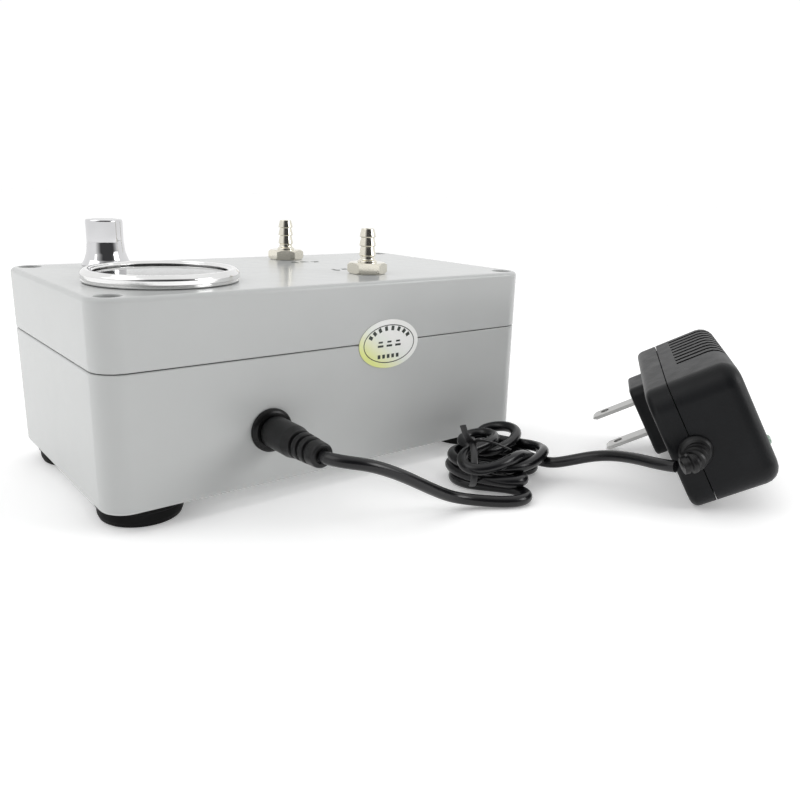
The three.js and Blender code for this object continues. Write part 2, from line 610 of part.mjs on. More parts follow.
function pump() {
  const { y, z, r, back, front } = motor;
  const shaft = (shape) => alongX(shape).translate([0, y, z]);
  const can = turned([
    [0, back], [5, back], [5, back + 2], [r, back + 2], [r, front], [0, front]], 24);
  add('pump_motor', shaft(cut(can, rod(motor.shaftR + gap, 10, front + 1, 16))), paint.steel());

  const { disc, offset, pinR, discX, rodX, endX } = crank;
  const pin = rod(pinR, discX, endX, 14).translate([0, offset, 0]);
  const spindle = join(rod(motor.shaftR, 12, discX + 1, 16), rod(disc, discX, rodX - 1, 20), pin);
  add('crank', shaft(spindle), paint.steel());

  const rodTop = 44;
  const ring = alongX(rod(6, rodX, rodX + 5, 18)).translate([0, y + offset, z]);
  const arm = block(rodX + 0.5, rodX + 4.5, y + offset - 2.5, y + offset + 2.5, z + 4, rodTop - 1);
  const crown = rod(5, rodTop - 2, rodTop, 14).translate([rodX + 2.5, y + offset, 0]);
  const eye = alongX(rod(pinR + gap + 0.1, rodX - 1, rodX + 6, 14)).translate([0, y + offset, z]);
  add('connecting_rod', cut(join(ring, arm, crown), eye), paint.silicone());

  const mid = [rodX + 2.5, y];
  const [y0, y1] = [y - head.halfWidth, y + head.halfWidth];
  const crankcase = cut(
    block(head.left, head.right, y0, y1, floorTop + touch, 46),
    block(head.left + 2.4, head.right - 2, y0 + 4, y1 - 4, floorTop + 5, 41),
    rod(10, 30, 50, 18).translate([...mid, 0]),
    shaft(rod(5, head.left - 1, head.left + 4, 12)));
  add('pump_crankcase', crankcase, paint.black());

  const diaphragm = turned([
    [0, 46.3], [5.2, 46.3], [6, 47], [8, 47], [8.6, 46.2], [10.6, 46.2], [10.6, 47.8], [6, 47.8],
    [5, 48], [0, 48]], 20);
  add('pump_diaphragm', diaphragm.translate([...mid, 0]), paint.rubber());

  let cap = block(head.left, head.right, y0, y1, head.bottom, head.top);
  for (const portY of [head.inletY, head.outletY]) {
    const port = alongX(ribbedTail(0, 9)).rotate([0, 0, 180]);
    cap = join(cap, port.translate([head.left + 0.01, portY, head.portZ]));
  }
  add('pump_head', cap, paint.black());
}

// Silicone hoses between the fittings. Each starts and ends with a short straight run along its fitting.
function tubes() {
  const portX = head.left - 7;
  const down = (y) => [[barb.x, y, 49], [barb.x, y, 46.5], [barb.x, y, 44]];
  const intoTee = (side) => [13, 11, 9].map((away) => [gauge.x, gauge.y + side * away, 34.5]);
  const outOfHead = (y) => [[portX, y, head.portZ], [19, y, head.portZ], [16, y, head.portZ]];
  add('suction_tube', hose([
    ...down(barb.inletY), [17, -27, 40], [5, -31, 37], [-15, -33.5, 36], [-33, -36.5, 35.5],
    [-43, -35.5, 34.8], [gauge.x, -31, 34.5], ...intoTee(-1)], 14), paint.silicone());
  add('vacuum_tube', hose([
    ...outOfHead(head.inletY), [0, 1, 54], [-14, 3, 54], [-24, 7, 50], [-33, 10, 42], [-41, 11, 36],
    [-46.5, 7, 34.6], [gauge.x, 1.5, 34.5], ...intoTee(1)], 12), paint.silicone());
  add('exhaust_tube', hose([
    ...outOfHead(head.outletY), [4, 19, 52], [0, 25, 46], [6, 31, 41], [15, 31.5, 40.5],
    ...down(barb.outletY).reverse()], 12), paint.silicone());
}

function controlBoard() {
  const card = join(
    block(-70, -33, -20, 22, 13, 14.6), block(-68, -56, -18, -8, 14, 23), block(-48, -38, 8, 20, 14, 26),
    block(-66, -58, 6, 18, 14, 21), rod(4, 14, 25, 20).translate([-41, -11, 0]),
    block(-54, -50, -4, 8, 14, 27));
  const corners = [{ x: -66, y: -17 }, { x: -37, y: 19 }];
  const standoffs = corners.map((at) => place(rod(2.2, floorTop + touch, 13.5), at));
  add('control_board', join(card, ...standoffs), paint.board());
}

// ---- Assembly -------------------------------------------------------------------------------------------

enclosure();
fasteners();
feet();
qualitySeal();
vacuumGauge();
speedControl();
hoseBarb('inlet_barb', barb.inletY);
hoseBarb('outlet_barb', barb.outletY);
locknut('inlet_locknut', barb.inletY);
locknut('outlet_locknut', barb.outletY);
powerSocket();
powerPlug();
lead();
wallAdapter();
pump();
tubes();
controlBoard();

export default group;
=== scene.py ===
"""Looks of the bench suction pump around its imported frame: a grey two-part box with a vacuum gauge, a chrome
speed knob and two hose barbs, and a tied-up lead to a wall adapter. Shapes are made in millimetres and placed
in the frame's metres."""

import math

import bmesh
import bpy
import numpy as np
from mathutils import Matrix, Vector


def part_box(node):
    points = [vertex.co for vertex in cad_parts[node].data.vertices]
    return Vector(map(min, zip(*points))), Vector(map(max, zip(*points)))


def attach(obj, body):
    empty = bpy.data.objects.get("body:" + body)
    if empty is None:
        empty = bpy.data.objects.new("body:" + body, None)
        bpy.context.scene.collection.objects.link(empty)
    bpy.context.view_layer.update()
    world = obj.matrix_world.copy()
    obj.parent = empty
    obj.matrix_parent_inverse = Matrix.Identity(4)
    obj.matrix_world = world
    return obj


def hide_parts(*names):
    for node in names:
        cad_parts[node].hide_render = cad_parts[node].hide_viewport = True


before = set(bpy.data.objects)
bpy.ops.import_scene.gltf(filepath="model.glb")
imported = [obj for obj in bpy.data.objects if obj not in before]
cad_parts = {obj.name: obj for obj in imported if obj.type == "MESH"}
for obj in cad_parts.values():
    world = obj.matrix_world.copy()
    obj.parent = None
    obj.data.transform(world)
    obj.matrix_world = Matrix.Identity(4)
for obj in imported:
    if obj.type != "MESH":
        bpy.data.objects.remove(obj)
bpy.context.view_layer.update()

MM = 0.001


def low(node):
    """The node's lowest corner, in millimetres."""
    return Vector(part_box(node)[0]) / MM


def high(node):
    return Vector(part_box(node)[1]) / MM


def middle(node):
    return (low(node) + high(node)) / 2


# ---- Camera, floor and light -----------------------------------------------------------------------------

YAW, PITCH, ROLL = (math.radians(a) for a in (38.953, 15.625, 1.685))
EYE = Vector((-0.13725, -0.24039, 0.09539))
LENS = 34.38


def look_direction():
    return Vector((math.sin(YAW) * math.cos(PITCH), math.cos(YAW) * math.cos(PITCH), -math.sin(PITCH)))


def make_camera():
    forward = look_direction()
    level = Vector((math.cos(YAW), -math.sin(YAW), 0))
    upright = level.cross(forward)
    right = level * math.cos(ROLL) + upright * math.sin(ROLL)
    up = upright * math.cos(ROLL) - level * math.sin(ROLL)
    camera = bpy.data.objects.new("camera", bpy.data.cameras.new("camera"))
    camera.data.lens = LENS
    camera.data.sensor_width = 36
    camera.data.clip_start = 0.005
    turn = Matrix((right, up, -forward)).transposed()
    camera.matrix_world = Matrix.Translation(EYE) @ turn.to_4x4()
    bpy.context.scene.collection.objects.link(camera)
    bpy.context.scene.camera = camera


def area_light(name, place, target, size, watts, color=(1, 1, 1)):
    light = bpy.data.lights.new(name, "AREA")
    light.shape = "RECTANGLE"
    light.size, light.size_y = size
    light.energy = watts
    light.color = color
    lamp = bpy.data.objects.new(name, light)
    lamp.location = place
    lamp.rotation_euler = (Vector(target) - Vector(place)).to_track_quat("-Z", "Y").to_euler()
    bpy.context.scene.collection.objects.link(lamp)


def make_world():
    """A white studio with a darker side behind the viewer, which metal and gloss pick up as a dark band."""
    world = bpy.data.worlds.new("studio")
    bpy.context.scene.world = world
    world.use_nodes = True
    nodes, links = world.node_tree.nodes, world.node_tree.links
    nodes.clear()
    place = nodes.new("ShaderNodeTexCoord")
    toward = nodes.new("ShaderNodeVectorMath")
    toward.operation = "DOT_PRODUCT"
    toward.inputs[1].default_value = Vector((-0.2, -0.98, 0.1)).normalized()
    links.new(place.outputs["Generated"], toward.inputs[0])
    ramp = nodes.new("ShaderNodeValToRGB")
    ramp.color_ramp.elements[0].position = 0.35
    ramp.color_ramp.elements[0].color = (1, 1, 1, 1)
    ramp.color_ramp.elements[1].position = 0.80
    ramp.color_ramp.elements[1].color = (0.06, 0.06, 0.062, 1)
    links.new(toward.outputs["Value"], ramp.inputs["Fac"])
    background = nodes.new("ShaderNodeBackground")
    background.inputs["Strength"].default_value = 1.02
    links.new(ramp.outputs["Color"], background.inputs["Color"])
    output = nodes.new("ShaderNodeOutputWorld")
    links.new(background.outputs["Background"], output.inputs["Surface"])


def make_floor():
    size = 6.0
    mesh = bpy.data.meshes.new("studio_floor")
    corners = [(-size, -size, 0), (size, -size, 0), (size, size, 0), (-size, size, 0)]
    mesh.from_pydata(corners, [], [(0, 1, 2, 3)])
    floor = bpy.data.objects.new("studio_floor", mesh)
    bpy.context.scene.collection.objects.link(floor)
    floor.data.materials.append(floor_material())


# ---- Materials -------------------------------------------------------------------------------------------

class Look:
    """A node material: a principled shader whose colour, roughness and bump come from procedural textures."""

    def __init__(self, name, roughness=0.5, metallic=0.0, **sockets):
        self.material = bpy.data.materials.new(name)
        self.material.use_nodes = True
        tree = self.material.node_tree
        self.nodes, self.links = tree.nodes, tree.links
        self.shader = self.nodes["Principled BSDF"]
        self.shader.inputs["Roughness"].default_value = roughness
        self.shader.inputs["Metallic"].default_value = metallic
        for socket, value in sockets.items():
            self.shader.inputs[socket.replace("_", " ")].default_value = value
        self.place = self.nodes.new("ShaderNodeTexCoord").outputs["Object"]
        self.height = None

    def stretched(self, scale):
        mapping = self.nodes.new("ShaderNodeMapping")
        mapping.inputs["Scale"].default_value = scale
        self.links.new(self.place, mapping.inputs["Vector"])
        return mapping.outputs["Vector"]

    def noise(self, scale, detail=2.0, vector=None):
        node = self.nodes.new("ShaderNodeTexNoise")
        node.inputs["Scale"].default_value = scale
        node.inputs["Detail"].default_value = detail
        self.links.new(vector or self.place, node.inputs["Vector"])
        return node.outputs["Fac"]

    def ramp(self, factor, *stops):
        node = self.nodes.new("ShaderNodeValToRGB")
        elements = node.color_ramp.elements
        while len(elements) < len(stops):
            elements.new(0.5)
        for element, (position, color) in zip(elements, stops):
            element.position = position
            element.color = (*color, 1)
        self.links.new(factor, node.inputs["Fac"])
        return node.outputs["Color"]

    def spread(self, factor, lowest, highest):
        node = self.nodes.new("ShaderNodeMapRange")
        node.inputs["To Min"].default_value = lowest
        node.inputs["To Max"].default_value = highest
        self.links.new(factor, node.inputs["Value"])
        return node.outputs["Result"]

    def color(self, output):
        self.links.new(output, self.shader.inputs["Base Color"])
        return self

    def rough(self, output):
        self.links.new(output, self.shader.inputs["Roughness"])
        return self

    def bump(self, factor, depth, strength=1.0):
        """Adds relief of the given depth in metres; several calls stack."""
        node = self.nodes.new("ShaderNodeBump")
        node.inputs["Distance"].default_value = depth
        node.inputs["Strength"].default_value = strength
        self.links.new(factor, node.inputs["Height"])
        if self.height:
            self.links.new(self.height, node.inputs["Normal"])
        self.height = node.outputs["Normal"]
        self.links.new(self.height, self.shader.inputs["Normal"])
        return self


def shade(color, factor):
    return tuple(min(1.0, c * factor) for c in color)


def moulded(name, color, roughness, grain=1500, depth=0.00002, vary=0.05, **sockets):
    """Injection-moulded plastic or rubber: slight flow mottling, fine spark-eroded grain, uneven gloss."""
    look = Look(name, roughness, **sockets)
    look.color(look.ramp(look.noise(60, 3), (0.3, shade(color, 1 - vary)), (0.7, shade(color, 1 + vary))))
    look.rough(look.spread(look.noise(220, 3), roughness * 0.8, roughness * 1.25))
    return look.bump(look.noise(grain, 2), depth).material


def machined(name, color, roughness, stretch=(1, 1, 30), depth=0.000004, **sockets):
    """Bright metal: fine lines left by turning or rolling and a slightly uneven polish."""
    look = Look(name, roughness, 1.0, **sockets)
    lines = look.noise(300, 3, look.stretched(stretch))
    look.color(look.ramp(look.noise(90, 3), (0.25, shade(color, 0.93)), (0.75, shade(color, 1.04))))
    look.rough(look.spread(lines, roughness * 0.7, roughness * 1.5))
    return look.bump(lines, depth).material


def floor_material():
    look = Look("studio_floor", 0.9, Specular_IOR_Level=0.0, Emission_Color=(1, 1, 1, 1),
                Emission_Strength=0.22)
    look.color(look.ramp(look.noise(3, 1), (0.0, (0.94, 0.94, 0.94)), (1.0, (0.96, 0.96, 0.96))))
    return look.material


def sticker_material():
    """Foil sticker: cream white, with a painted yellow-green sheen low on its left."""
    look = Look("seal_foil", 0.28)
    middle_at = middle("quality_seal") * MM
    slope = look.nodes.new("ShaderNodeVectorMath")
    slope.operation = "DOT_PRODUCT"
    slope.inputs[1].default_value = (60, 0, 75)
    shift = look.nodes.new("ShaderNodeVectorMath")
    shift.operation = "SUBTRACT"
    shift.inputs[1].default_value = middle_at
    look.links.new(look.place, shift.inputs[0])
    look.links.new(shift.outputs["Vector"], slope.inputs[0])
    painted_sheen = look.spread(slope.outputs["Value"], 0, 1)
    painted_sheen.node.inputs["From Min"].default_value = -0.95
    painted_sheen.node.inputs["From Max"].default_value = 0.25
    # Painted sheen: the ramp paints a yellow-green reflection into the base colour at the lower left, fading
    # to cream white.
    look.color(look.ramp(
        painted_sheen, (0.1, (0.78, 0.83, 0.30)), (0.45, (0.84, 0.86, 0.62)), (0.7, (0.84, 0.87, 0.80)),
        (1.0, (0.90, 0.90, 0.88))))
    look.bump(look.noise(900, 2), 0.00001)
    return look.material


def lens_material():
    look = Look("clear_glass", 0.02, Transmission_Weight=1.0, IOR=1.47)
    look.shader.inputs["Base Color"].default_value = (0.97, 0.985, 0.98, 1)
    look.rough(look.spread(look.noise(40, 2), 0.012, 0.05))
    return look.material


MATERIALS = {
    "shell": moulded("shell_grey", (0.52, 0.53, 0.525), 0.2, 2600, 0.000006, 0.012,
                     Specular_IOR_Level=0.3),
    "rubber": moulded("black_rubber", (0.008, 0.008, 0.008), 0.55, 1100, 0.00004, 0.25,
                      Specular_IOR_Level=0.08),
    "gasket": moulded("gasket_rubber", (0.01, 0.01, 0.01), 0.8, 900, 0.00003, 0.2),
    "foil": sticker_material(),
    "ink": moulded("printed_ink", (0.035, 0.045, 0.035), 0.5, 3000, 0.000004, 0.2),
    "black_plastic": moulded("black_plastic", (0.014, 0.014, 0.015), 0.38, 1800, 0.00002, 0.2),
    "steel": machined("polished_steel", (0.78, 0.78, 0.775), 0.09),
    "screw": machined("zinc_steel", (0.62, 0.62, 0.60), 0.3),
    "glass": lens_material(),
    "dial": moulded("dial_white", (0.52, 0.52, 0.51), 0.55, 2500, 0.000005, 0.02),
    "dial_ink": moulded("dial_ink", (0.02, 0.02, 0.02), 0.5, 3000, 0.000003, 0.15),
    "needle": moulded("needle_lacquer", (0.02, 0.02, 0.022), 0.3, 2500, 0.000004, 0.15),
    "yellow_brass": machined("yellow_brass", (0.72, 0.56, 0.28), 0.28),
    "nickel": machined("nickel_brass", (0.74, 0.71, 0.62), 0.13),
    "gloss_black": moulded("gloss_black", (0.006, 0.006, 0.006), 0.25, 2500, 0.000008, 0.2,
                           Specular_IOR_Level=0.2),
    "silicone": moulded("silicone", (0.74, 0.75, 0.73), 0.35, 900, 0.00001, 0.04),
    "board": moulded("circuit_board", (0.02, 0.12, 0.05), 0.35, 700, 0.00002, 0.3),
    "enamel": machined("motor_can", (0.50, 0.50, 0.51), 0.32),
    "chrome": machined("chrome_plate", (0.66, 0.66, 0.67), 0.035, (1, 1, 12), 0.0000015),
    "plug_vinyl": moulded("black_vinyl", (0.006, 0.006, 0.0065), 0.38, 1500, 0.00003, 0.2,
                          Specular_IOR_Level=0.35),
    "cord": moulded("cord_vinyl", (0.005, 0.005, 0.006), 0.24, 500, 0.00001, 0.2, Specular_IOR_Level=0.4),
    "tie": moulded("tie_black", (0.02, 0.02, 0.021), 0.35, 1400, 0.00002, 0.2),
    "adapter": moulded("adapter_black", (0.006, 0.0065, 0.0075), 0.4, 1300, 0.00005, 0.25,
                       Specular_IOR_Level=0.18),
    "blade": machined("nickel_blade", (0.46, 0.46, 0.45), 0.3, (1, 30, 1)),
    "led": moulded("led_lens", (0.30, 0.42, 0.34), 0.12, 800, 0.00001, 0.1, Coat_Weight=0.6),
    "nylon": moulded("nylon_white", (0.80, 0.79, 0.75), 0.45, 1200, 0.00001, 0.04),
}


# ---- Shaping helpers -------------------------------------------------------------------------------------

def rounded(points, closed=False, steps=5):
    """A polyline whose corners given as (x, y, radius) become arcs; corners given as (x, y) stay sharp."""
    out = []
    count = len(points)
    for i, point in enumerate(points):
        here = Vector(point[:2])
        inside = closed or 0 < i < count - 1
        if len(point) < 3 or not inside:
            out.append(here)
            continue
        before = Vector(points[i - 1][:2]) - here
        after = Vector(points[(i + 1) % count][:2]) - here
        half = before.angle(after) / 2
        back = min(point[2] / math.tan(half), 0.49 * before.length, 0.49 * after.length)
        radius = back * math.tan(half)
        if half > 1.55 or radius < 1e-4:
            out.append(here)
            continue
        centre = here + (before.normalized() + after.normalized()).normalized() * (radius / math.sin(half))
        first = here + before.normalized() * back - centre
        last = here + after.normalized() * back - centre
        start = math.atan2(first.y, first.x)
        sweep = (math.atan2(last.y, last.x) - start + math.pi) % (2 * math.pi) - math.pi
        for k in range(steps + 1):
            angle = start + sweep * k / steps
            out.append(centre + Vector((math.cos(angle), math.sin(angle))) * radius)
    return out


def raw(name, points, faces, matrix=Matrix.Identity(4)):
    """A mesh object from points in millimetres, placed by the matrix, faces made to look outward."""
    mesh = bpy.data.meshes.new(name)
    mesh.from_pydata([tuple(matrix @ Vector(p) * MM) for p in points], [], faces)
    shape = bmesh.new()
    shape.from_mesh(mesh)
    bmesh.ops.remove_doubles(shape, verts=shape.verts, dist=1e-8)
    bmesh.ops.recalc_face_normals(shape, faces=shape.faces)
    shape.to_mesh(mesh)
    shape.free()
    thing = bpy.data.objects.new(name, mesh)
    bpy.context.scene.collection.objects.link(thing)
    return thing


def at(x, y, z=0.0, turn=0.0, axis="Z"):
    return Matrix.Translation((x, y, z)) @ Matrix.Rotation(math.radians(turn), 4, axis)


def lathe(name, profile, matrix=Matrix.Identity(4), segments=96, steps=5):
    """A turned shape about Z. The profile runs from axis to axis, or closes on itself."""
    on_axis = profile[0][0] == 0 and profile[-1][0] == 0
    outline = rounded(profile, not on_axis, steps)
    points, rings = [], []
    for r, z in outline:
        if r < 1e-6:
            rings.append([len(points)] * segments)
            points.append((0, 0, z))
            continue
        rings.append(list(range(len(points), len(points) + segments)))
        for k in range(segments):
            angle = 2 * math.pi * k / segments
            points.append((r * math.cos(angle), r * math.sin(angle), z))
    faces = []
    pairs = list(zip(rings, rings[1:]))
    if not on_axis:
        pairs.append((rings[-1], rings[0]))
    for a, b in pairs:
        for k in range(segments):
            m = (k + 1) % segments
            face = list(dict.fromkeys((a[k], a[m], b[m], b[k])))
            if len(face) > 2:
                faces.append(face)
    return raw(name, points, faces, matrix)


def loft(name, rings, matrix=Matrix.Identity(4)):
    """A closed shape through rings of equally many points, with flat ends."""
    count = len(rings[0])
    points = [p for ring in rings for p in ring]
    faces = [tuple(range(count)), tuple(range(len(points) - count, len(points)))]
    for i in range(len(rings) - 1):
        for k in range(count):
            m = (k + 1) % count
            faces.append((i * count + k, i * count + m, (i + 1) * count + m, (i + 1) * count + k))
    return raw(name, points, faces, matrix)


def slab_ring(length, width, corner, z, steps=10):
    """A rounded rectangle centred on the origin at height z."""
    x, y = length / 2, width / 2
    outline = rounded([(x, -y, corner), (x, y, corner), (-x, y, corner), (-x, -y, corner)], True, steps)
    return [(p.x, p.y, z) for p in outline]


def slab(name, length, width, corner, profile, matrix=Matrix.Identity(4), steps=10):
    """A rounded-rectangle block: the profile is (inset, height) or (inset, height, radius) from below."""
    rings = []
    for inset, z in rounded(profile):
        rings.append(slab_ring(length - 2 * inset, width - 2 * inset, max(corner - inset, 0.3), z, steps))
    return loft(name, rings, matrix)


def prism(name, outline, z0, z1, matrix=Matrix.Identity(4)):
    return loft(name, [[(x, y, z) for x, y in outline] for z in (z0, z1)], matrix)


def brick(name, x0, x1, y0, y1, z0, z1, matrix=Matrix.Identity(4)):
    return prism(name, [(x0, y0), (x1, y0), (x1, y1), (x0, y1)], z0, z1, matrix)


def hexagon(across):
    r = across / math.sqrt(3)
    return [(r * math.cos(a), r * math.sin(a)) for a in (math.pi * k / 3 for k in range(6))]


def flow(points, count, weights=None):
    """Points evenly spread along a smooth curve through the given ones, with the weights spread alike."""
    given = np.array(points, float)
    knots = np.concatenate([[0], np.cumsum(np.linalg.norm(np.diff(given, axis=0), axis=1) ** 0.5)])
    first, last = 2 * given[0] - given[1], 2 * given[-1] - given[-2]
    p = np.vstack([first, given, last])
    k = np.concatenate([[-knots[1]], knots, [2 * knots[-1] - knots[-2]]])
    fine, spread = [], []
    for i in range(1, len(p) - 2):
        for t in np.linspace(k[i], k[i + 1], 24, endpoint=i == len(p) - 3):
            a = [((k[i + j] - t) * p[i + j - 1] + (t - k[i + j - 1]) * p[i + j]) / (k[i + j] - k[i + j - 1])
                 for j in range(3)]
            b = [((k[i + j + 1] - t) * a[j] + (t - k[i + j - 1]) * a[j + 1]) / (k[i + j + 1] - k[i + j - 1])
                 for j in range(2)]
            fine.append(((k[i + 1] - t) * b[0] + (t - k[i]) * b[1]) / (k[i + 1] - k[i]))
            spread.append((t - k[i]) / (k[i + 1] - k[i]) + i - 1)
    fine = np.array(fine)
    run = np.concatenate([[0], np.cumsum(np.linalg.norm(np.diff(fine, axis=0), axis=1))])
    even = np.linspace(0, run[-1], count)
    line = np.stack([np.interp(even, run, fine[:, j]) for j in range(3)], 1)
    if weights is None:
        return line
    return line, np.interp(np.interp(even, run, spread), range(len(weights)), weights)


def sweep(name, line, widths, depths=None, sides=20, up=(0, 0, 1), matrix=Matrix.Identity(4)):
    """An oval section carried along a line: half widths across, half depths along the up side."""
    depths = widths if depths is None else depths
    line = np.array(line, float)
    along = np.gradient(line, axis=0)
    along /= np.linalg.norm(along, axis=1)[:, None]
    side = np.cross(along[0], np.array(up, float))
    rings = []
    for centre, t, w, d in zip(line, along, widths, depths):
        side = side - t * (side @ t)
        side /= np.linalg.norm(side)
        over = np.cross(side, t)
        angles = (2 * math.pi * k / sides for k in range(sides))
        rings.append([tuple(centre + side * w * math.cos(a) + over * d * math.sin(a)) for a in angles])
    return loft(name, rings, matrix)


def baked(thing):
    """The object with its modifiers applied to its own mesh."""
    graph = bpy.context.evaluated_depsgraph_get()
    mesh = bpy.data.meshes.new_from_object(thing.evaluated_get(graph))
    thing.modifiers.clear()
    thing.data = mesh
    return thing


def combine(thing, tools, operation):
    for tool in tools:
        modifier = thing.modifiers.new("combine", "BOOLEAN")
        modifier.operation = operation
        modifier.solver = "EXACT"
        modifier.object = tool
        baked(thing)
        bpy.data.objects.remove(tool)
    return thing


def carve(thing, *tools):
    return combine(thing, tools, "DIFFERENCE")


def weld(thing, *others):
    return combine(thing, others, "UNION")


def keep_common(thing, *others):
    return combine(thing, others, "INTERSECT")


def merged(name, things):
    """Several separate shapes as one object."""
    shape = bmesh.new()
    for thing in things:
        shape.from_mesh(thing.data)
        bpy.data.objects.remove(thing)
    mesh = bpy.data.meshes.new(name)
    shape.to_mesh(mesh)
    shape.free()
    whole = bpy.data.objects.new(name, mesh)
    bpy.context.scene.collection.objects.link(whole)
    return whole


def done(thing, look, body, replaces=(), sharp=32):
    """Gives the piece its shading, material, body and the CAD nodes that it stands for."""
    mesh = thing.data
    mesh.materials.clear()
    mesh.materials.append(MATERIALS[look])
    for polygon in mesh.polygons:
        polygon.material_index = 0
    mesh.shade_smooth()
    mesh.set_sharp_from_angle(angle=math.radians(sharp))
    weights = thing.modifiers.new("weights", "WEIGHTED_NORMAL")
    weights.keep_sharp = True
    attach(thing, body)
    if replaces:
        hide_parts(*([replaces] if isinstance(replaces, str) else replaces))
    return thing


# ---- Cord ------------------------------------------------------------------------------------------------

CORD_R = 1.85
LEAD_ROUTE = [
    (-29.1, -73.95, 23.4), (-29.1, -77, 23.4), (-28, -80.6, 23.5), (-25, -83.2, 23.6), (-21, -84, 22.8),
    (-16.5, -84, 20.8), (-8, -84, 16.2), (0, -84, 11.2), (7, -83.2, 6.9), (12, -82, 4), (18, -81.4, 2.1),
]
TAIL_ROUTE = [
    (56, -82.8, 5.6), (59, -85, 6.4), (62, -87.4, 7.7), (64.6, -90.4, 9.4), (66.3, -95, 11.4),
    (66.9, -100.5, 12.8), (66.6, -106, 13.7), (65.2, -112, 14.8), (63.2, -117.6, 15.6),
    (62.9, -120.5, 16), (63, -123, 16.4), (63.3, -124.8, 16.8),
]
HANK_HEADING = math.radians(51)

# The cord's way through the tied bundle, from the lead's side to the adapter's: (across, away, height) from
# the bundle's centre. Three turns lie on one another, two stand up in arches, and the last crosses over the
# front.
BUNDLE = [
    (-6, -24, 2), (3, -25, 2), (9.5, -22.5, 2), (11, -16.5, 2), (6, -11.5, 2), (-3, -11, 2), (-12, -10, 2),
    (-17, -5, 2), (-16, 2, 2.2), (-9, 6, 2.2), (0, 4, 2), (9, 2, 2), (16, 5, 2), (17, 11.5, 2), (11, 16, 2),
    (1, 15, 2.4), (-9, 12, 3.5), (-16.5, 5, 5), (-17, -4, 5.8), (-11, -11.5, 6), (-2, -16.5, 5.8),
    (5, -19, 5.8),
    (10, -15.5, 6), (9, -8.5, 6), (1, -5.5, 6), (-8, -5, 6.2), (-15, -1, 7), (-14, 6, 7), (-6, 8.5, 6.5),
    (3, 3, 6), (10, -1, 5.8), (15, 2, 5.8), (15, 9, 6), (8, 13, 6.2), (-2, 11, 7), (-11, 8, 8),
    (-16.5, 1, 9), (-16, -8, 9), (-9, -13, 9.2), (0, -14, 9.2), (7, -11, 9.2), (12, -4, 9), (17.5, 3, 8.8),
    (18, 10, 8.6), (12, 14.5, 8.8), (3, 15, 9), (-5, 17, 9.5), (-7, 22, 10), (-1, 25, 11.5), (7, 23, 13),
    (11, 17, 12.6), (8, 9, 11), (2, 2, 10.5), (-6, -3, 11), (-13, 1, 11), (-14, 8, 11), (-8, 13, 12.5),
    (-1, 12, 14), (2.5, 7, 13), (-1, 0, 12), (-8, -5, 12.2), (-14, -9, 11.6), (-15, -16, 9.6), (-9, -20, 9),
    (-1, -17, 10.5), (6, -11, 11.4), (10, -5, 10.4), (13, 1, 8.4), (16, 6, 6.6)
]


def hank_point(across, away, height):
    centre = middle("cord_hank")
    c, s = math.cos(HANK_HEADING), math.sin(HANK_HEADING)
    return (centre.x + away * c + across * s, centre.y + away * s - across * c, height)


HOME_PULL, PUSH, LONGEST_STEP, HELD_POINTS, FLOOR_GAP = 0.06, 0.5, 0.8, 18, 0.03


def settled(line, rounds=300):
    """The line relaxed: bends even out, strands push apart to about a diameter, nothing sinks."""
    home = line.copy()
    line = line.copy()
    order = np.arange(len(line))
    ease = (np.clip(np.minimum(order, order[::-1]) / HELD_POINTS, 0, 1) ** 2)[:, None]
    apart = 2 * CORD_R + 0.08
    spacing = np.linalg.norm(np.diff(line, axis=0), axis=1).mean()
    upper_i, upper_j = np.triu_indices(len(line), int(math.ceil(apart * 2.2 / spacing)))
    for step in range(rounds):
        if step % 5 == 0:
            near = np.linalg.norm(line[upper_i] - line[upper_j], axis=1) < apart * 1.6
            i, j = upper_i[near], upper_j[near]
        move = (home - line) * HOME_PULL
        for reach, weight in ((1, 0.3), (2, 0.12)):
            chord = (line[:-2 * reach] + line[2 * reach:]) / 2
            move[reach:-reach] += (chord - line[reach:-reach]) * weight
        gap = line[i] - line[j]
        far = np.maximum(np.linalg.norm(gap, axis=1), 1e-6)
        push = np.clip(apart - far, 0, None)[:, None] * gap / far[:, None] * PUSH
        spread = np.zeros_like(line)
        np.add.at(spread, i, push)
        np.add.at(spread, j, -push)
        for _ in range(3):
            spread[1:-1] = (spread[:-2] + 2 * spread[1:-1] + spread[2:]) / 4
        move += spread
        size = np.linalg.norm(move, axis=1)
        move *= np.minimum(1, LONGEST_STEP / np.maximum(size, 1e-9))[:, None]
        line += move * ease
        line[:, 2] = np.maximum(line[:, 2], CORD_R + FLOOR_GAP)
    return line


def cord_line():
    lead = flow(LEAD_ROUTE, 40)
    tail = flow(TAIL_ROUTE, 30)
    bundle = [hank_point(*p) for p in BUNDLE]
    route = [tuple(p) for p in lead[::5]] + bundle + [tuple(p) for p in tail[::5]] + [tuple(tail[-1])]
    return flow([tuple(p) for p in settled(flow(route, 300))], 900)


def make_cord():
    line = cord_line()
    curve = bpy.data.curves.new("power_cord", "CURVE")
    curve.dimensions = "3D"
    curve.bevel_depth = CORD_R * MM
    curve.bevel_resolution = 5
    curve.use_fill_caps = True
    spline = curve.splines.new("POLY")
    spline.points.add(len(line) - 1)
    for point, place in zip(spline.points, line):
        point.co = (*(place * MM), 1)
    spline.use_smooth = True
    cord = bpy.data.objects.new("power_cord", curve)
    bpy.context.scene.collection.objects.link(cord)
    curve.materials.append(MATERIALS["cord"])
    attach(cord, "power_lead")
    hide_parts("cord_lead", "cord_hank", "cord_tail")
    length = float(np.linalg.norm(np.diff(line, axis=0), axis=1).sum()) * MM
    return cord, length


# ---- Enclosure -------------------------------------------------------------------------------------------

